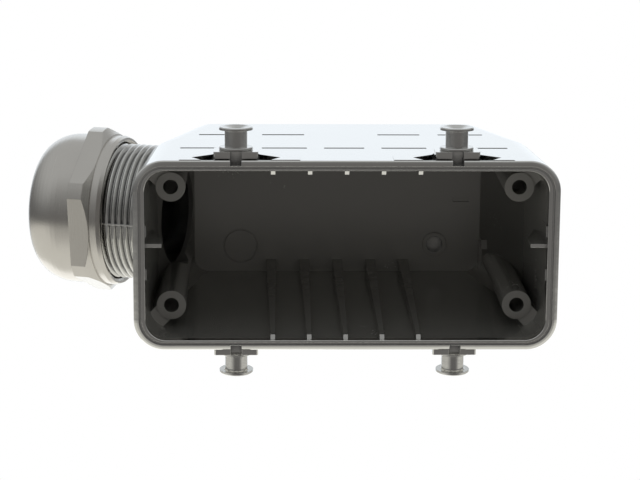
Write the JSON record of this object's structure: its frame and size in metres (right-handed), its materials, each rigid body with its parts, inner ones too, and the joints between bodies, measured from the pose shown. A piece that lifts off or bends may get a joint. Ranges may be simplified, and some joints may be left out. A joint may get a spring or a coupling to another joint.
{
  "type": "rectangular connector hood",
  "caption": "Nickel-plated die-cast hood of a heavy duty rectangular connector, with a side cable gland under a domed cap nut and locking pegs on both long sides.",
  "frame": {"origin": "centre of the open mouth, in the plane of the mating rim", "axes": "+Z from the open mouth to the closed end, +X along the long sides away from the cable gland, +Y across the hood. The front side named in the pegs is -Y."},
  "size_m": [0.1201, 0.0558, 0.0689],
  "materials": {
    "casting": "glossy nickel plate over a die casting",
    "peg_steel": "turned and polished",
    "nut_plating": "satin nickel plate over brass",
    "cage_plastic": "moulded",
    "sleeve_rubber": "moulded"
  },
  "bodies": {
    "hood": {"hood": "casting", "peg_front_left": "peg_steel", "peg_front_right": "peg_steel", "peg_rear_left": "peg_steel", "peg_rear_right": "peg_steel"},
    "clamp": {"clamping_cage": "cage_plastic", "sealing_sleeve": "sleeve_rubber"},
    "cap_nut": {"cap_nut": "nut_plating"}
  },
  "joints": [
    {"name": "clamp_travel", "type": "slide", "parent": "hood", "child": "clamp", "axis": [-0.9588, 0, 0.284], "range_m": [-0.004, 0.005]},
    {"name": "cap_nut_turn", "type": "hinge", "parent": "clamp", "child": "cap_nut", "pos_m": [-0.05113, 0, 0.04824], "axis": [-0.9588, 0, 0.284], "range_deg": [-961, 1201]}
  ],
  "couplings": [
    {"joint": "cap_nut_turn", "follows": "clamp_travel", "rad_per_m": 4188.8}
  ]
}
